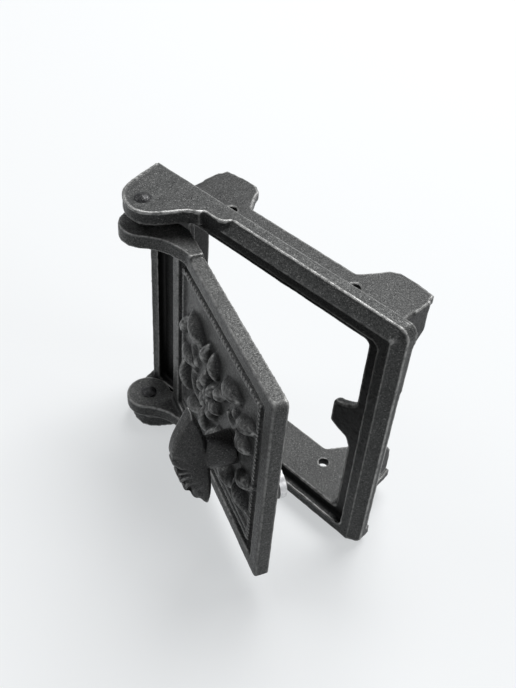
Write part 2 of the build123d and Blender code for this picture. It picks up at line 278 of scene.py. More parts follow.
@dataclass(frozen=True)
class CastFinish:
    """Rough cast iron: mottled grey skin, bright edges that are partly wear and partly painted highlight,
    and painted shade in its recesses.
    """

    name: str
    dark: Colour
    light: Colour
    # Colour of the bright flecks, and of worn edges that also stand in for painted highlights
    worn_and_highlight: Colour
    # Colour of the painted shade, laid into hollows and over the frame's opening
    painted_shade: Colour
    metallic: float
    rough_low: float
    rough_high: float
    bump_mm: float
    patches: Grain = Grain(55.0, 4.0, 0.55, 0.35, 0.68)
    mottle: Grain = Grain(1150.0, 3.0, 0.65, 0.34, 0.68)
    fleck: Grain = Grain(1700.0, 2.0, 0.6, 0.58, 0.72)
    rubbing: Grain = Grain(420.0, 3.0, 0.55, 0.32, 0.6)
    coarse_bump: Grain = Grain(420.0, 3.0, 0.6)
    fine_bump: Grain = Grain(1500.0, 3.0, 0.7)
    patch_dark: float = 0.72
    patch_share: float = 0.45
    fleck_share: float = 0.4
    # Painted shade in hollows: its strength, and the depths at which it starts and is full
    painted_shade_share: float = 0.88
    recess_shade_from: float = 0.1
    recess_shade_full: float = 0.9
    # Worn edges, painted light partly as wear and partly as highlight: where they start, are full, and how
    # much
    wear_from: float = 0.3
    wear_full: float = 0.95
    wear_share: float = 0.7
    least_rub: float = 0.3
    worn_metallic: float = 0.6
    worn_smooth: float = 0.12
    coarse_depth: float = 2.2
    specular: float = 0.24

    def build(self) -> bpy.types.Material:
        """Make the material.

        Returns:
            The material.
        """
        tree = Tree(bpy.data.materials.new(self.name))
        mottle = tree.cut_noise(self.mottle)
        wear_and_highlight = self.wear_and_highlight(tree)
        tree.links.new(self.colour(tree, mottle, wear_and_highlight), tree.shader.inputs["Base Color"])
        rough = tree.spread(mottle, 0.0, 1.0, self.rough_high, self.rough_low)
        rough = tree.maths("SUBTRACT", rough, tree.maths("MULTIPLY", wear_and_highlight, self.worn_smooth))
        tree.links.new(rough, tree.shader.inputs["Roughness"])
        shine = tree.spread(wear_and_highlight, 0.0, 1.0, self.metallic, self.worn_metallic)
        tree.links.new(shine, tree.shader.inputs["Metallic"])
        tree.shader.inputs["Specular IOR Level"].default_value = self.specular
        coarse = tree.bump(tree.noise(self.coarse_bump), self.coarse_depth * self.bump_mm * MM)
        fine = tree.bump(tree.noise(self.fine_bump), self.bump_mm * MM, coarse)
        tree.links.new(fine, tree.shader.inputs["Normal"])
        return tree.material

    def wear_and_highlight(self, tree: Tree) -> Socket:
        """Give how worn and highlit each place is: the mesh's worn edges, which also stand in for painted
        highlights, broken up by a noise.

        Args:
            tree: The material's tree.

        Returns:
            The wear with its painted highlight, from 0 to 1.
        """
        worn_and_highlight = tree.attribute("edge_wear_and_highlight")
        edges = tree.spread(worn_and_highlight, self.wear_from, self.wear_full, 0.0, self.wear_share)
        return tree.maths("MULTIPLY", edges, tree.cut_noise(self.rubbing, self.least_rub))

    def colour(self, tree: Tree, mottle: Socket, wear_and_highlight: Socket) -> Socket:
        """Lay the skin's colours over each other, from the mottle through the painted shade up to the wear
        with its painted highlight.

        Args:
            tree: The material's tree.
            mottle: The fine mottle.
            wear_and_highlight: How worn and highlit each place is.

        Returns:
            The colour.
        """
        skin = tree.blend(mottle, self.dark, self.light)
        shade = tuple(self.patch_dark * c for c in self.dark)
        patches = tree.cut_noise(self.patches)
        skin = tree.blend(tree.maths("MULTIPLY", patches, self.patch_share), skin, shade)
        fleck = tree.cut_noise(self.fleck)
        skin = tree.blend(tree.maths("MULTIPLY", fleck, self.fleck_share), skin, self.worn_and_highlight)
        # Painted shade: the deeper a hollow, the darker the skin is painted
        recess_shade = tree.spread(tree.attribute("recess_shade"), self.recess_shade_from, self.recess_shade_full)
        skin = tree.blend(tree.maths("MULTIPLY", recess_shade, self.painted_shade_share), skin, self.painted_shade)
        # Painted shade over the frame's opening and the faces behind its lip
        skin = tree.blend(tree.attribute("inside_shade"), skin, self.painted_shade)
        # Worn edges and relief tops painted light, partly wear and partly painted highlight
        return tree.blend(wear_and_highlight, skin, self.worn_and_highlight)


@dataclass(frozen=True)
class SteelFinish:
    """Plain bright steel, faintly mottled."""

    name: str
    dark: Colour
    light: Colour
    metallic: float
    rough: float
    bump_mm: float
    tone: Grain = Grain(500.0, 3.0, 0.6, 0.35, 0.65)
    bump: Grain = Grain(900.0, 2.0)
    dull: float = 0.12

    def build(self) -> bpy.types.Material:
        """Make the material.

        Returns:
            The material.
        """
        tree = Tree(bpy.data.materials.new(self.name))
        tone = tree.cut_noise(self.tone)
        tree.links.new(tree.blend(tone, self.dark, self.light), tree.shader.inputs["Base Color"])
        rough = tree.spread(tone, 0.0, 1.0, self.rough + self.dull, self.rough)
        tree.links.new(rough, tree.shader.inputs["Roughness"])
        tree.shader.inputs["Metallic"].default_value = self.metallic
        tree.links.new(tree.bump(tree.noise(self.bump), self.bump_mm * MM), tree.shader.inputs["Normal"])
        return tree.material


IRON = CastFinish(
    name="cast_iron_frame",
    dark=(0.021, 0.022, 0.022),
    light=(0.080, 0.082, 0.080),
    worn_and_highlight=(0.5, 0.5, 0.49),
    painted_shade=(0.008, 0.008, 0.008),
    metallic=0.3,
    rough_low=0.34,
    rough_high=0.54,
    bump_mm=0.12,
)
DOOR_IRON = CastFinish(
    name="cast_iron_door",
    dark=(0.033, 0.034, 0.034),
    light=(0.122, 0.124, 0.121),
    worn_and_highlight=(0.5, 0.5, 0.49),
    painted_shade=(0.007, 0.007, 0.007),
    metallic=0.3,
    rough_low=0.34,
    rough_high=0.54,
    bump_mm=0.12,
)
HANDLE_IRON = CastFinish(
    name="cast_iron_handle",
    dark=(0.030, 0.030, 0.030),
    light=(0.085, 0.085, 0.084),
    worn_and_highlight=(0.5, 0.5, 0.49),
    painted_shade=(0.008, 0.008, 0.008),
    metallic=0.4,
    rough_low=0.32,
    rough_high=0.48,
    bump_mm=0.06,
)
RIVET_STEEL = CastFinish(
    name="hammered_rivet",
    dark=(0.018, 0.018, 0.019),
    light=(0.05, 0.05, 0.051),
    worn_and_highlight=(0.34, 0.34, 0.34),
    painted_shade=(0.015, 0.015, 0.015),
    metallic=0.6,
    rough_low=0.32,
    rough_high=0.46,
    bump_mm=0.05,
)
TONGUE_STEEL = SteelFinish(
    name="bright_steel",
    dark=(0.62, 0.62, 0.63),
    light=(0.8, 0.8, 0.8),
    metallic=0.75,
    rough=0.3,
    bump_mm=0.01,
)


class Surface:
    """Numbers of a mesh that its smoothing and wear are worked out from."""

    def __init__(self, mesh: bpy.types.Mesh) -> None:
        """Read the points and edges of a mesh.

        Args:
            mesh: The mesh.
        """
        self.mesh = mesh
        self.points = np.empty(len(mesh.vertices) * 3, np.float32)
        mesh.vertices.foreach_get("co", self.points)
        self.points = self.points.reshape(-1, 3).astype(np.float64)
        ends = np.empty(len(mesh.edges) * 2, np.int32)
        mesh.edges.foreach_get("vertices", ends)
        self.first, self.second = ends.reshape(-1, 2).T
        count = len(self.points)
        degree = np.bincount(self.first, minlength=count) + np.bincount(self.second, minlength=count)
        self.degree = np.maximum(degree, 1).astype(np.float64)

    def around(self, values: np.ndarray) -> np.ndarray:
        """Average the neighbours' values at each point.

        Args:
            values: A value or a row of values for each point.

        Returns:
            The averages, in the same shape.
        """
        flat = values.reshape(len(self.points), -1)
        columns = []
        for column in flat.T:
            total = np.bincount(self.first, column[self.second], len(self.points))
            total += np.bincount(self.second, column[self.first], len(self.points))
            columns.append(total / self.degree)
        return np.stack(columns, 1).reshape(values.shape)

    def relax(self, rounds: int, shrink: float = 0.5, swell: float = -0.52) -> None:
        """Smooth the points and keep the volume.

        Args:
            rounds: How often.
            shrink: Share of the step inwards.
            swell: Share of the step back out.
        """
        for _ in range(rounds):
            for share in (shrink, swell):
                self.points += share * (self.around(self.points) - self.points)
        self.write()

    def soften(self, rounds: int) -> None:
        """Smooth the points so that sharp edges round off.

        Args:
            rounds: How often.
        """
        for _ in range(rounds):
            self.points += SOFTEN * (self.around(self.points) - self.points)
        self.write()

    def write(self) -> None:
        """Put the points back into the mesh."""
        self.mesh.vertices.foreach_set("co", self.points.astype(np.float32).ravel())
        self.mesh.update()

    def normals(self) -> np.ndarray:
        """Read the points' normals.

        Returns:
            The normals, one a row.
        """
        values = np.empty(len(self.points) * 3, np.float32)
        self.mesh.vertex_normals.foreach_get("vector", values)
        return values.reshape(-1, 3).astype(np.float64)

    def push(self, heights: np.ndarray) -> None:
        """Move each point along its normal by a height in metres."""
        self.points += self.normals() * heights[:, None]
        self.write()

    def store(self, name: str, values: np.ndarray) -> None:
        """Keep a number at each point under a name."""
        layer = self.mesh.attributes.new(name, "FLOAT", "POINT")
        layer.data.foreach_set("value", values.astype(np.float32))

    def bend(self, step: float) -> np.ndarray:
        """Give how far each point stands out from its neighbours, as a share of the edge length."""
        lean = self.around(self.points) - self.points
        return -(lean * self.normals()).sum(1) / step

    def mark_wear_highlight_and_shade(self, step: float, rubbed_and_highlit: np.ndarray) -> None:
        """Work out how far each point stands out or lies in, and store both, as edge wear that doubles as
        painted highlight and as painted shade in hollows.

        Args:
            step: The mesh's edge length in metres.
            rubbed_and_highlit: Wear and painted highlight that the piece has besides its edges, from 0 to 1.
        """
        bend = self.bend(step)
        bend = 0.5 * bend + 0.5 * self.around(bend)
        wide = self.points.copy()
        for _ in range(round(WIDE_BLUR_MM * MM / step) ** 2):
            wide += SOFTEN * (self.around(wide) - wide)
        depth = ((wide - self.points) * self.normals()).sum(1) / MM
        # Edges that stand out are painted light, partly as wear and partly as painted highlight
        self.store("edge_wear_and_highlight", np.maximum(ramp(bend, 0.0, EDGE_BEND), rubbed_and_highlit))
        # Depth below the blurred neighbours, kept for the painted shade in hollows
        self.store("recess_shade", ramp(depth, 0.0, RECESS_SHADE_MM))


@dataclass
class CastSkin:
    """A node's solid made again as a fine skin with the lumps and soft edges of a sand casting."""

    node: str
    name: str
    body: Body
    slot: Slot
    finish: CastFinish
    voxel_mm: float
    lump_mm: float
    seed: float
    relax_rounds: int = 3
    soft_rounds: int = 1

    def build(self, nodes: dict[str, bpy.types.Object]) -> bpy.types.Object:
        """Make the skin, dress it and let it stand for its node.

        Args:
            nodes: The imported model's nodes.

        Returns:
            The finished piece.
        """
        mesh = self.remeshed(nodes[self.node])
        surface = Surface(mesh)
        surface.relax(self.relax_rounds)
        surface.soften(self.soft_rounds)
        self.carve(surface)
        surface.mark_wear_highlight_and_shade(self.voxel_mm * MM, self.rubbed_and_highlit(surface))
        # Painted shade over the frame's opening; none on the other pieces
        surface.store("inside_shade", self.inside_shade(surface))
        surface.store("room", self.grain_room(surface))
        surface.push(self.lumps(surface.points))
        for polygon in mesh.polygons:
            polygon.use_smooth = True
        piece = bpy.data.objects.new(self.name, mesh)
        bpy.context.scene.collection.objects.link(piece)
        mesh.materials.clear()
        mesh.materials.append(self.finish.build())
        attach(piece, self.body.value)
        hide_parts(self.node)
        LOG.info("%s: %d faces", self.name, len(mesh.polygons))
        return piece

    def remeshed(self, node: bpy.types.Object) -> bpy.types.Mesh:
        """Weld a copy of a node and rebuild it in even small faces.

        Args:
            node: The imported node.

        Returns:
            The new mesh.
        """
        mesh = node.data.copy()
        work = bmesh.new()
        work.from_mesh(mesh)
        bmesh.ops.remove_doubles(work, verts=work.verts, dist=WELD)
        work.to_mesh(mesh)
        work.free()
        carrier = bpy.data.objects.new(self.name + "_work", mesh)
        bpy.context.scene.collection.objects.link(carrier)
        remesh = carrier.modifiers.new("voxels", "REMESH")
        remesh.mode = "VOXEL"
        remesh.voxel_size = self.voxel_mm * MM
        graph = bpy.context.evaluated_depsgraph_get()
        result = bpy.data.meshes.new_from_object(carrier.evaluated_get(graph))
        result.name = self.name
        bpy.data.objects.remove(carrier)
        return result

    def lumps(self, points: np.ndarray) -> np.ndarray:
        """Give each point its height on the uneven cast surface.

        Args:
            points: The places in metres, one a row.

        Returns:
            The heights in metres.
        """
        shift = Vector((self.seed, 2.0 * self.seed, -self.seed))
        heights = np.empty(len(points))
        for k, point in enumerate(points):
            place = Vector(point)
            wide = noise.noise(place * LUMP_SCALES[0] + shift)
            close = noise.noise(place * LUMP_SCALES[1] - shift)
            heights[k] = LUMP_SHARES[0] * wide + LUMP_SHARES[1] * close - LUMP_INWARD
        return heights * self.lump_mm * MM

    def carve(self, surface: Surface) -> None:
        """Cut the piece's own detail; a plain skin has none."""

    def rubbed_and_highlit(self, surface: Surface) -> np.ndarray:
        """Give the wear and painted highlight besides the edges; a plain skin has none."""
        return np.zeros(len(surface.points))

    def inside_shade(self, surface: Surface) -> np.ndarray:
        """Give how much painted shade each point gets; a plain skin gets none."""
        return np.zeros(len(surface.points))

    def grain_room(self, surface: Surface) -> np.ndarray:
        """Give where mould grains may sit without meeting another piece."""
        return np.ones(len(surface.points))


@dataclass
class FrameSkin(CastSkin):
    """The frame's casting, with crisp beads along its edges and painted shade over its opening."""

    lip_y: float = -4.05
    flange_back: float = 2.0
    half_opening: float = 69.8
    opening_low: float = 9.9
    opening_high: float = 134.1
    ear_faces: tuple[float, ...] = (7.5, 136.5)
    ear_right: float = -38.0
    ear_margin: float = 1.5
    bead_mm: float = 0.4
    edge_mm: float = 0.6
    lip_margin: float = 0.2
    # Painted shade over the opening: depth where it starts, its strength, and how much less upward faces get
    painted_shade_front: float = -7.6
    painted_shade_share: float = 0.86
    painted_shade_off_tops: float = 0.5

    def carve(self, surface: Surface) -> None:
        """Raise a bead along each outer edge of the flange.

        Args:
            surface: The skin so far.
        """
        y = surface.points[:, 1] / MM
        bend = ramp(surface.bend(self.voxel_mm * MM), 0.0, BEAD_BEND)
        front = ramp(self.lip_y - self.lip_margin - y, 0.0, self.edge_mm)
        ridge = ramp(self.flange_back - y, 0.0, self.edge_mm) * self.off_opening(surface)
        beads = bend * np.maximum(front, ridge) * self.clear_of_ears(surface)
        surface.push(beads * self.bead_mm * MM)

    def off_opening(self, surface: Surface) -> np.ndarray:
        """Tell the flange from its opening.

        Args:
            surface: The skin so far.

        Returns:
            1 outside the flange's opening and 0 in it.
        """
        x, _, z = surface.points.T / MM
        across = self.half_opening - np.abs(x)
        upright = np.minimum(z - self.opening_low, self.opening_high - z)
        return ramp(-np.minimum(across, upright), 0.0, self.edge_mm)

    def clear_of_ears(self, surface: Surface) -> np.ndarray:
        """Tell the ear faces that the door's ears turn against.

        Args:
            surface: The skin so far.

        Returns:
            0 on those faces and 1 on the rest.
        """
        z = surface.points[:, 2] / MM
        near = np.min([np.abs(z - face) for face in self.ear_faces], axis=0)
        ear = surface.points[:, 0] / MM < self.ear_right
        return np.where(ear & (near < self.ear_margin), 0.0, 1.0)

    def inside_shade(self, surface: Surface) -> np.ndarray:
        """Paint shade on what lies in the opening and behind the lip, and least of all on what faces up,
        where the light falls.

        Args:
            surface: The skin so far.

        Returns:
            How much painted shade each point gets, from 0 to 1.
        """
        upward = np.clip(surface.normals()[:, 2], 0.0, 1.0)
        deep = ramp(surface.points[:, 1] / MM, self.painted_shade_front, 1.0) * (1.0 - self.off_opening(surface))
        return deep * (self.painted_shade_share - self.painted_shade_off_tops * upward)

    def grain_room(self, surface: Surface) -> np.ndarray:
        """Keep grains off the opening, the lip's seat and the ear faces."""
        off_lip = np.abs(surface.points[:, 1] / MM - self.lip_y) > self.edge_mm
        return self.off_opening(surface) * self.clear_of_ears(surface) * off_lip


@dataclass(frozen=True)
class Leaf:
    """One leaf or petal of the relief, in door millimetres."""

    u: float
    z: float
    length: float
    width: float
    tilt: float
    least_taper: float = 0.05
    crease_depth: float = 0.3
    crease_width: float = 0.6
    vein_height: float = 0.08
    vein_slant: float = 1.1
    vein_rate: float = 2.4
    vein_reach: float = 0.9

    def rise(self, u: np.ndarray, z: np.ndarray, height: float) -> np.ndarray:
        """Give how far the leaf stands out further than its solid.

        Args:
            u: Places along the door.
            z: Heights on the door.
            height: Rise of the leaf's plump middle.

        Returns:
            The rise at each place, with a crease along the midrib and faint side veins.
        """
        turn = math.radians(self.tilt)
        along = (u - self.u) * math.cos(turn) + (z - self.z) * math.sin(turn)
        across = -(u - self.u) * math.sin(turn) + (z - self.z) * math.cos(turn)
        taper = np.clip(1.0 - (2.0 * along / self.length) ** 2, 0.0, 1.0)
        half_width = 0.5 * self.width * np.maximum(taper, self.least_taper)
        share = np.clip(np.abs(across) / half_width, 0.0, 1.0)
        plump = height * np.sqrt(1.0 - share**2) * np.sqrt(taper)
        crease = self.crease_depth * np.exp(-((across / self.crease_width) ** 2)) * taper
        waves = np.sin((along + self.vein_slant * np.abs(across)) * self.vein_rate)
        vein = self.vein_height * waves * taper * (share < self.vein_reach)
        return np.maximum(plump - crease + vein, 0.0) * (share < 1.0) * (taper > 0.0)


# Leaves of the relief, as in the solids: place along the door, height, length, width, tilt
LEAVES = (
    Leaf(44.5, 96.0, 24.0, 9.0, -23.0),
    Leaf(44.5, 45.5, 24.0, 9.0, 23.0),
    Leaf(58.0, 93.0, 19.0, 7.5, 74.0),
    Leaf(58.0, 48.5, 19.0, 7.5, -74.0),
    Leaf(68.5, 93.5, 18.0, 7.5, 112.0),
    Leaf(68.5, 48.0, 18.0, 7.5, -112.0),
    Leaf(89.5, 98.5, 22.0, 9.2, 8.0),
    Leaf(89.5, 43.0, 22.0, 9.2, -8.0),
    Leaf(106.5, 94.5, 22.0, 8.5, 24.0),
    Leaf(106.5, 47.0, 22.0, 8.5, -24.0),
    Leaf(105.0, 81.0, 18.0, 8.0, 6.0),
    Leaf(109.0, 60.5, 21.0, 8.0, 22.0),
    Leaf(77.0, 84.5, 15.0, 8.0, 24.0),
    Leaf(77.5, 56.0, 13.0, 7.0, -32.0),
    Leaf(30.0, 88.0, 21.0, 8.0, 62.0),
    Leaf(30.0, 53.5, 21.0, 8.0, -62.0),
    Leaf(34.0, 70.8, 23.0, 7.0, 0.0),
)
FLOWER = (63.5, 70.8)
PETAL_COUNT = 6
PETAL_OUT = 8.06
PETAL_LENGTH = 13.0
PETAL_WIDTH = 8.0


def petal(number: int) -> Leaf:
    """Place one petal of the flower, as in the solids.

    Args:
        number: The petal's number, from 0.

    Returns:
        The petal.
    """
    turn = 360.0 / PETAL_COUNT * number
    u = FLOWER[0] + PETAL_OUT * math.cos(math.radians(turn))
    z = FLOWER[1] + PETAL_OUT * math.sin(math.radians(turn))
    return Leaf(u, z, PETAL_LENGTH, PETAL_WIDTH, turn)


@dataclass
class DoorSkin(CastSkin):
    """The door's casting with its plump leaves and petals, and nicks in the bead round its field."""

    leaves: tuple[Leaf, ...] = ()
    relief_front: float = -12.9
    bead_front: float = -13.4
    front_edge: float = 0.5
    rise_mm: float = 2.1
    nick_mm: float = 0.45
    nick_pitch: float = 2.6
    bead_middle: float = -0.6
    bead_reach: float = 1.3
    relief_margin: tuple[float, float] = (2.0, 2.25)
    # Tops of the relief painted lighter, partly as wear and partly as painted highlight
    rub_from: float = -10.4
    rub_over: float = 2.4
    rub_share: float = 0.5
    ear_reach: float = 16.0
    back_mm: float = -18.7
    back_margin: float = 0.8

    def carve(self, surface: Surface) -> None:
        """Raise the relief's leaves and petals, and cut the nicks.

        Args:
            surface: The skin so far.
        """
        u, v, z = door_places(surface.points)
        rise = np.zeros(len(u))
        for leaf in self.leaves:
            rise = np.maximum(rise, leaf.rise(u, z, self.rise_mm))
        reach = ramp(v, self.relief_front, self.front_edge)
        surface.points += np.outer(rise * reach * MM, np.array(OUT_OF_DOOR))
        surface.write()
        surface.soften(1)
        surface.push(-self.nicks(u, z) * ramp(v, self.bead_front, self.front_edge) * MM)

    def nicks(self, u: np.ndarray, z: np.ndarray) -> np.ndarray:
        """Work out the nicks that the bead round the field has.

        Args:
            u: Places along the door.
            z: Heights on the door.

        Returns:
            Their depth at each place in millimetres.
        """
        sideways = np.abs(u - FIELD_MIDDLE[0]) - FIELD_HALF[0]
        outside = np.maximum(sideways, np.abs(z - FIELD_MIDDLE[1]) - FIELD_HALF[1])
        on_bead = np.clip(1.0 - np.abs(outside - self.bead_middle) / self.bead_reach, 0.0, 1.0)
        waves = np.clip(np.sin(2.0 * math.pi * (u + z) / self.nick_pitch), 0.0, 1.0)
        return self.nick_mm * on_bead * waves

    def rubbed_and_highlit(self, surface: Surface) -> np.ndarray:
        """Work out the wear on the tops of the relief, which also stands in for a painted highlight there.

        Args:
            surface: The skin so far.

        Returns:
            The wear with its painted highlight, from 0 to 1.
        """
        u, v, z = door_places(surface.points)
        half_u, half_z = (half - margin for half, margin in zip(FIELD_HALF, self.relief_margin))
        on_field = (np.abs(u - FIELD_MIDDLE[0]) < half_u) & (np.abs(z - FIELD_MIDDLE[1]) < half_z)
        return np.where(on_field, self.rub_share * ramp(v, self.rub_from, self.rub_over), 0.0)

    def grain_room(self, surface: Surface) -> np.ndarray:
        """Keep grains off the back, which meets the lip, and off the ears."""
        u, v, _ = door_places(surface.points)
        return ((u > self.ear_reach) & (v > self.back_mm + self.back_margin)).astype(np.float64)


@dataclass
class ShellSkin(CastSkin):
    """The handle with the crinkled ribs of its shell round the belly of the blade.

    The belly is given as angles about the ribs' root, in degrees, each with its distance.
    """

    root_v: float = 0.0
    root_z: float = 57.0
    belly: tuple[tuple[float, float], ...] = (
        (-92.0, 27.7), (-76.0, 22.3), (-51.6, 17.2), (-4.7, 14.6),
        (32.6, 20.4), (47.0, 24.6), (64.8, 31.5), (77.8, 39.6),
    )
    blade_end: float = 96.5
    rim_from: float = 0.5
    rim_over: float = 0.45
    shaft_side: float = -1.0
    shaft_fade: float = 3.0
    ribs_top: float = 48.0
    top_fade: float = 30.0
    ribs_foot: float = -92.0
    foot_fade: float = 14.0
    wander: float = 0.9
    wander_far: float = 0.55
    wander_angle: float = 0.05
    gap_power: float = 1.5
    ribs: float = 15.0
    groove_mm: float = 1.7
    notch_mm: float = 1.5
    roll_mm: float = 1.3

    def carve(self, surface: Surface) -> None:
        """Roll the belly's edge over and press the gaps between the ribs into it.

        Args:
            surface: The skin so far.
        """
        along = np.array(ALONG_DOOR)
        out = np.array(OUT_OF_DOOR)
        u, v, z = door_places(surface.points)
        v = v - self.root_v
        z = z - self.root_z
        far = np.hypot(v, z)
        angle = np.degrees(np.arctan2(z, v))
        rim = self.rim(u, v, far, angle)
        lower = ramp(self.ribs_top - angle, 0.0, self.top_fade) * ramp(angle, self.ribs_foot, self.foot_fade)
        pressed = rim * lower * self.gaps(far, angle)
        facing = surface.normals() @ along
        groove = self.groove_mm * pressed
        front = -(groove + self.roll_mm * rim**2 * lower) * np.clip(facing, 0.0, 1.0)
        back = groove * np.clip(-facing, 0.0, 1.0)
        inward = self.notch_mm * pressed * rim / np.maximum(far, 1.0)
        surface.points += (np.outer(front + back, along) - np.outer(inward * v, out)) * MM
        surface.points[:, 2] -= inward * z * MM
        surface.write()
        surface.soften(1)

    def rim(self, u: np.ndarray, v: np.ndarray, far: np.ndarray, angle: np.ndarray) -> np.ndarray:
        """Find the belly's edge on the blade.

        Args:
            u: Places along the door.
            v: Places in front of the ribs' root.
            far: Distances from the root.
            angle: Angles about the root in degrees.

        Returns:
            A rise from 0 half the way to the edge, to 1 near it.
        """
        edge = np.interp(angle, *zip(*self.belly))
        rim = ramp(far / edge, self.rim_from, self.rim_over) * ramp(v, self.shaft_side, self.shaft_fade)
        return rim * ramp(self.blade_end - u, 0.0, 1.0)

    def gaps(self, far: np.ndarray, angle: np.ndarray) -> np.ndarray:
        """Give 1 in the gaps between the wavering ribs and 0 on their crests."""
        wander = self.wander * np.sin(self.wander_far * far + self.wander_angle * angle)
        return (0.5 - 0.5 * np.cos(np.radians(self.ribs * angle) + wander)) ** self.gap_power


@dataclass
class CastPimples:
    """Small grains that the sand mould leaves on a casting, scattered by Geometry Nodes."""

    name: str
    carrier: bpy.types.Object
    body: Body
    slot: Slot
    per_square_metre: float
    radius_mm: float
    seed: int
    smallest: float = 0.35
    largest: float = 1.0

    def build(self) -> bpy.types.Object:
        """Scatter the grains over the carrier's skin.

        Returns:
            The finished piece.
        """
        mesh = bpy.data.meshes.new(self.name + "_base")
        holder = bpy.data.objects.new(self.name + "_base", mesh)
        bpy.context.scene.collection.objects.link(holder)
        modifier = holder.modifiers.new("grains", "NODES")
        group, sockets = self.tree()
        modifier.node_group = group
        modifier[sockets["Skin"]] = self.carrier
        modifier[sockets["Density"]] = self.per_square_metre
        modifier[sockets["Radius"]] = self.radius_mm * MM
        modifier[sockets["Seed"]] = self.seed
        graph = bpy.context.evaluated_depsgraph_get()
        baked = bpy.data.meshes.new_from_object(holder.evaluated_get(graph))
        baked.name = self.name
        bpy.data.objects.remove(holder)
        piece = bpy.data.objects.new(self.name, baked)
        bpy.context.scene.collection.objects.link(piece)
        if not baked.materials:
            baked.materials.append(self.carrier.data.materials[0])
        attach(piece, self.body.value)
        LOG.info("%s: %d faces", self.name, len(baked.polygons))
        return piece

    def tree(self) -> tuple[bpy.types.NodeTree, dict[str, str]]:
        """Build the scattering tree.

        Returns:
            The tree, and its inputs' identifiers by name.
        """
        group = bpy.data.node_groups.new(self.name, "GeometryNodeTree")
        face = group.interface
        kinds = {"Skin": "Object", "Density": "Float", "Radius": "Float", "Seed": "Int"}
        inputs = {}
        for label, kind in kinds.items():
            socket = face.new_socket(label, in_out="INPUT", socket_type="NodeSocket" + kind)
            inputs[label] = socket.identifier
        face.new_socket("Geometry", in_out="OUTPUT", socket_type="NodeSocketGeometry")
        entry = group.nodes.new("NodeGroupInput")
        points = self.scatter(group, entry)
        grains = self.grains(group, entry, points)
        dress = group.nodes.new("GeometryNodeSetMaterial")
        dress.inputs["Material"].default_value = self.carrier.data.materials[0]
        group.links.new(grains, dress.inputs["Geometry"])
        end = group.nodes.new("NodeGroupOutput")
        group.links.new(dress.outputs["Geometry"], end.inputs["Geometry"])
        return group, inputs

    def scatter(self, group: bpy.types.NodeTree, entry: bpy.types.Node) -> bpy.types.Node:
        """Scatter points over the skin, where it has room for grains.

        Args:
            group: The tree.
            entry: Its input node.

        Returns:
            The node that gives the points.
        """
        add = group.nodes.new
        link = group.links.new
        skin = add("GeometryNodeObjectInfo")
        link(entry.outputs["Skin"], skin.inputs["Object"])
        room = add("GeometryNodeInputNamedAttribute")
        room.data_type = "FLOAT"
        room.inputs["Name"].default_value = "room"
        thin = add("ShaderNodeMath")
        thin.operation = "MULTIPLY"
        link(entry.outputs["Density"], thin.inputs[0])
        link(room.outputs["Attribute"], thin.inputs[1])
        points = add("GeometryNodeDistributePointsOnFaces")
        link(skin.outputs["Geometry"], points.inputs["Mesh"])
        link(thin.outputs[0], points.inputs["Density"])
        link(entry.outputs["Seed"], points.inputs["Seed"])
        return points

    def grains(
        self, group: bpy.types.NodeTree, entry: bpy.types.Node, points: bpy.types.Node
    ) -> Socket:
        """Put a small ball of its own size on each point.

        Args:
            group: The tree.
            entry: Its input node.
            points: The node that gives the points.

        Returns:
            The balls.
        """
        add = group.nodes.new
        link = group.links.new
        ball = add("GeometryNodeMeshIcoSphere")
        ball.inputs["Subdivisions"].default_value = 1
        link(entry.outputs["Radius"], ball.inputs["Radius"])
        size = add("FunctionNodeRandomValue")
        size.data_type = "FLOAT"
        size.inputs[2].default_value = self.smallest
        size.inputs[3].default_value = self.largest
        place = add("GeometryNodeInstanceOnPoints")
        link(points.outputs["Points"], place.inputs["Points"])
        link(points.outputs["Rotation"], place.inputs["Rotation"])
        link(ball.outputs["Mesh"], place.inputs["Instance"])
        link(size.outputs[1], place.inputs["Scale"])
        real = add("GeometryNodeRealizeInstances")
        link(place.outputs["Instances"], real.inputs["Geometry"])
        return real.outputs["Geometry"]


@dataclass
class FrameCasting:
    """The frame with its ears, lip, collar and anchor plates."""

    voxel_mm: float = 0.82
    lump_mm: float = 0.22
    lump_seed: float = 3.0
    pimple_density: float = 9000.0
    pimple_mm: float = 0.4
    pimple_seed: int = 11

    def build(self, nodes: dict[str, bpy.types.Object]) -> None:
        """Make the frame's skin and its grains.

        Args:
            nodes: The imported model's nodes.
        """
        skin = FrameSkin(
            "frame", "frame_skin", Body.FRAME, Slot.FRAME, IRON, self.voxel_mm, self.lump_mm,
            self.lump_seed,
        )
        piece = skin.build(nodes)
        grains = CastPimples(
            "frame_grains", piece, Body.FRAME, Slot.FRAME, self.pimple_density, self.pimple_mm,
            self.pimple_seed,
        )
        grains.build()


@dataclass
class DoorCasting:
    """The door with its rim, relief and ears."""

    voxel_mm: float = 0.74
    lump_mm: float = 0.2
    lump_seed: float = 7.0
    pimple_density: float = 9000.0
    pimple_mm: float = 0.35
    pimple_seed: int = 23

    def build(self, nodes: dict[str, bpy.types.Object]) -> None:
        """Make the door's skin with its relief, and its grains.

        Args:
            nodes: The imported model's nodes.
        """
        petals = tuple(petal(number) for number in range(PETAL_COUNT))
        skin = DoorSkin(
            "door_leaf", "door_skin", Body.DOOR, Slot.DOOR, DOOR_IRON, self.voxel_mm, self.lump_mm,
            self.lump_seed, leaves=LEAVES + petals,
        )
        piece = skin.build(nodes)
        grains = CastPimples(
            "door_grains", piece, Body.DOOR, Slot.DOOR, self.pimple_density, self.pimple_mm,
            self.pimple_seed,
        )
        grains.build()


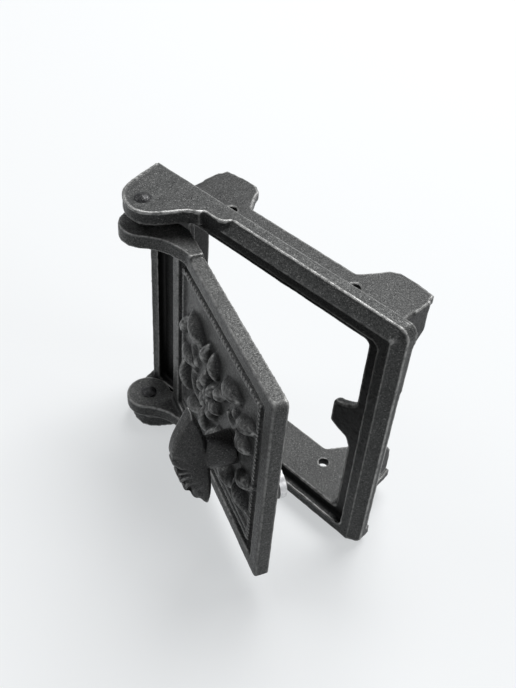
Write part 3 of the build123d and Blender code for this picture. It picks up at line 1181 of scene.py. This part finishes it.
@dataclass
class Hinge:
    """The two rivets that the door turns on."""

    voxel_mm: float = 0.3
    lump_mm: float = 0.16
    lump_seed: float = 13.0

    def build(self, nodes: dict[str, bpy.types.Object]) -> None:
        """Make both rivets with hammered heads.

        Args:
            nodes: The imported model's nodes.
        """
        for k, side in enumerate(("upper", "lower")):
            skin = CastSkin(
                f"hinge_rivet_{side}", f"rivet_{side}_skin", Body.FRAME, Slot.RIVET, RIVET_STEEL,
                self.voxel_mm, self.lump_mm, self.lump_seed + k,
            )
            skin.build(nodes)


@dataclass
class Latch:
    """The handle with its shaft, and the tongue behind the door."""

    voxel_mm: float = 0.42
    lump_mm: float = 0.14
    lump_seed: float = 17.0

    def build(self, nodes: dict[str, bpy.types.Object]) -> None:
        """Make the handle's skin and dress the tongue.

        Args:
            nodes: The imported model's nodes.
        """
        skin = ShellSkin(
            "handle", "handle_skin", Body.LATCH, Slot.HANDLE, HANDLE_IRON, self.voxel_mm, self.lump_mm,
            self.lump_seed,
        )
        skin.build(nodes)
        tongue = nodes["latch_tongue"]
        tongue.data.materials.clear()
        tongue.data.materials.append(TONGUE_STEEL.build())


@dataclass(frozen=True)
class Lamp:
    """A square soft lamp that faces the object."""

    name: str
    place: tuple[float, float, float]
    size: float
    watts: float
    aim: tuple[float, float, float] = (0.0, 0.0, 0.06)

    def build(self) -> None:
        """Hang the lamp."""
        data = bpy.data.lights.new(self.name, "AREA")
        data.shape = "SQUARE"
        data.size = self.size
        data.energy = self.watts
        lamp = bpy.data.objects.new(self.name, data)
        lamp.location = self.place
        way = Vector(self.aim) - Vector(self.place)
        lamp.rotation_euler = way.to_track_quat("-Z", "Y").to_euler()
        bpy.context.scene.collection.objects.link(lamp)


@dataclass
class Studio:
    """Pale floor, soft lamps and the camera at the photograph's angle."""

    floor_half: float = 6.0
    floor_drop: float = 0.0003
    floor_seen: Colour = (0.34, 0.343, 0.346)
    floor_bounce: Colour = (0.06, 0.06, 0.06)
    floor_glow: float = 0.55
    floor_tint: Colour = (0.96, 0.985, 1.0)
    floor_rough: float = 0.95
    floor_specular: float = 0.1
    world_tint: Colour = (0.95, 0.97, 1.0)
    world_fill: float = 0.03
    world_seen: float = 0.5
    lamps: tuple[Lamp, ...] = (
        Lamp("top_panel", (-0.36, 1.26, 2.07), 1.7, 76.0),
        Lamp("right_panel", (1.25, 0.35, 0.7), 0.7, 5.0),
        Lamp("left_panel", (-0.95, -0.5, 1.1), 0.6, 3.4),
    )
    camera_place: tuple[float, float, float] = (0.20671, -0.23517, 0.36738)
    camera_right: tuple[float, float, float] = (0.704348, 0.706960, 0.064041)
    camera_down: tuple[float, float, float] = (0.512772, -0.444333, -0.734597)
    camera_ahead: tuple[float, float, float] = (-0.490875, 0.550251, -0.675475)
    lens_mm: float = 60.17
    sensor_mm: float = 36.0
    clip_start: float = 0.01

    def build(self) -> None:
        """Make the whole stage."""
        self.floor()
        self.world()
        for lamp in self.lamps:
            lamp.build()
        self.camera()

    def floor(self) -> None:
        """Make the pale floor, with less bounce than it shows."""
        half = self.floor_half
        low = -self.floor_drop
        mesh = bpy.data.meshes.new("floor")
        outline = [(-half, -half, low), (half, -half, low), (half, half, low), (-half, half, low)]
        mesh.from_pydata(outline, [], [(0, 1, 2, 3)])
        plane = bpy.data.objects.new("floor", mesh)
        bpy.context.scene.collection.objects.link(plane)
        tree = Tree(bpy.data.materials.new("pale_floor"))
        inputs = tree.shader.inputs
        seen = tree.seen()
        tree.links.new(tree.blend(seen, self.floor_bounce, self.floor_seen), inputs["Base Color"])
        tree.links.new(tree.maths("MULTIPLY", seen, self.floor_glow), inputs["Emission Strength"])
        inputs["Emission Color"].default_value = (*self.floor_tint, 1.0)
        inputs["Roughness"].default_value = self.floor_rough
        inputs["Specular IOR Level"].default_value = self.floor_specular
        mesh.materials.append(tree.material)

    def world(self) -> None:
        """Make the pale surroundings, which light the object less than they show."""
        world = bpy.data.worlds.new("studio")
        bpy.context.scene.world = world
        world.use_nodes = True
        nodes = world.node_tree.nodes
        links = world.node_tree.links
        ground = nodes["Background"]
        ground.inputs["Color"].default_value = (*self.world_tint, 1.0)
        rays = nodes.new("ShaderNodeLightPath").outputs
        seen = rays["Is Camera Ray"]
        for label in ("Is Glossy Ray", "Is Transmission Ray"):
            join = nodes.new("ShaderNodeMath")
            join.operation = "MAXIMUM"
            links.new(seen, join.inputs[0])
            links.new(rays[label], join.inputs[1])
            seen = join.outputs[0]
        span = nodes.new("ShaderNodeMapRange")
        span.inputs["To Min"].default_value = self.world_fill
        span.inputs["To Max"].default_value = self.world_seen
        links.new(seen, span.inputs["Value"])
        links.new(span.outputs["Result"], ground.inputs["Strength"])

    def camera(self) -> None:
        """Set the camera where the photograph was taken from."""
        data = bpy.data.cameras.new("camera")
        data.sensor_fit = "HORIZONTAL"
        data.sensor_width = self.sensor_mm
        data.lens = self.lens_mm
        data.clip_start = self.clip_start
        camera = bpy.data.objects.new("camera", data)
        rows = (self.camera_right, self.camera_down, self.camera_ahead)
        right, down, ahead = (Vector(row) for row in rows)
        turn = Matrix((right, -down, -ahead)).transposed().to_4x4()
        camera.matrix_world = Matrix.Translation(self.camera_place) @ turn
        bpy.context.scene.collection.objects.link(camera)
        bpy.context.scene.camera = camera


def main() -> None:
    """Build the stage, the castings, the hinge and the latch."""
    logging.basicConfig(level=logging.INFO, format="%(message)s")
    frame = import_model()
    bpy.context.scene.view_settings.view_transform = "Standard"
    Studio().build()
    for assembly in (FrameCasting(), DoorCasting(), Hinge(), Latch()):
        assembly.build(frame["nodes"])
        LOG.info("built %s", type(assembly).__name__)


if __name__ == "__main__":
    main()
